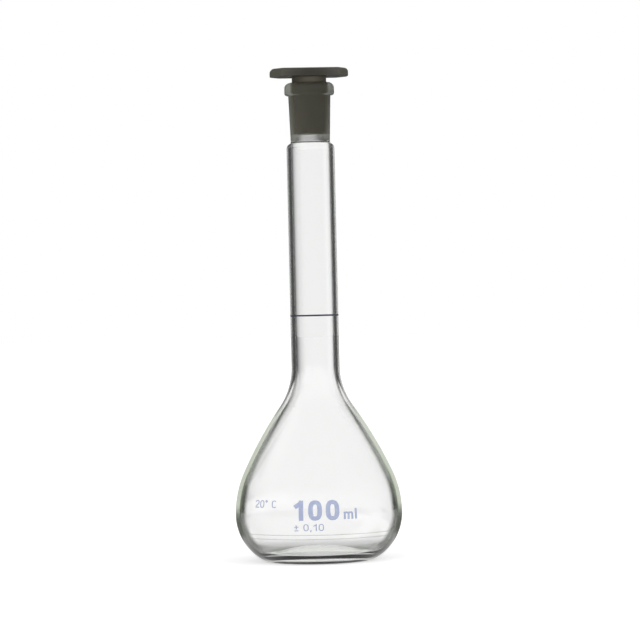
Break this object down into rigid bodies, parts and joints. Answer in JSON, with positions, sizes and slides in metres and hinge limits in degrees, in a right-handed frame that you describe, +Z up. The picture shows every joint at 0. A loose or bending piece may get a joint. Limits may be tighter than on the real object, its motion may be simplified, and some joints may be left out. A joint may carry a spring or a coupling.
{
  "type": "volumetric flask",
  "caption": "Clear glass volumetric flask with a pear-shaped bulb, long neck with a graduation ring, conical ground socket and lift-out plastic stopper.",
  "frame": {"origin": "centre of the foot ring, on the plane that the flask stands on", "axes": "+Z up along the flask's axis, -Y towards the viewer and the printed side, +X to the viewer's right"},
  "size_m": [0.06, 0.06, 0.1771],
  "materials": {
    "clear_glass": "clear fire-polished borosilicate, ground frosted inside the socket",
    "blue_enamel": "fired blue enamel",
    "grey_plastic": "satin moulded polyethylene, slightly translucent"
  },
  "bodies": {
    "glass": {"flask": "clear_glass", "graduation_ring": "blue_enamel"},
    "stopper": {"stopper": "grey_plastic"}
  },
  "joints": [
    {"name": "stopper_lift", "type": "slide", "parent": "glass", "child": "stopper", "axis": [0, 0, 1], "range_m": [0, 0.022]}
  ]
}
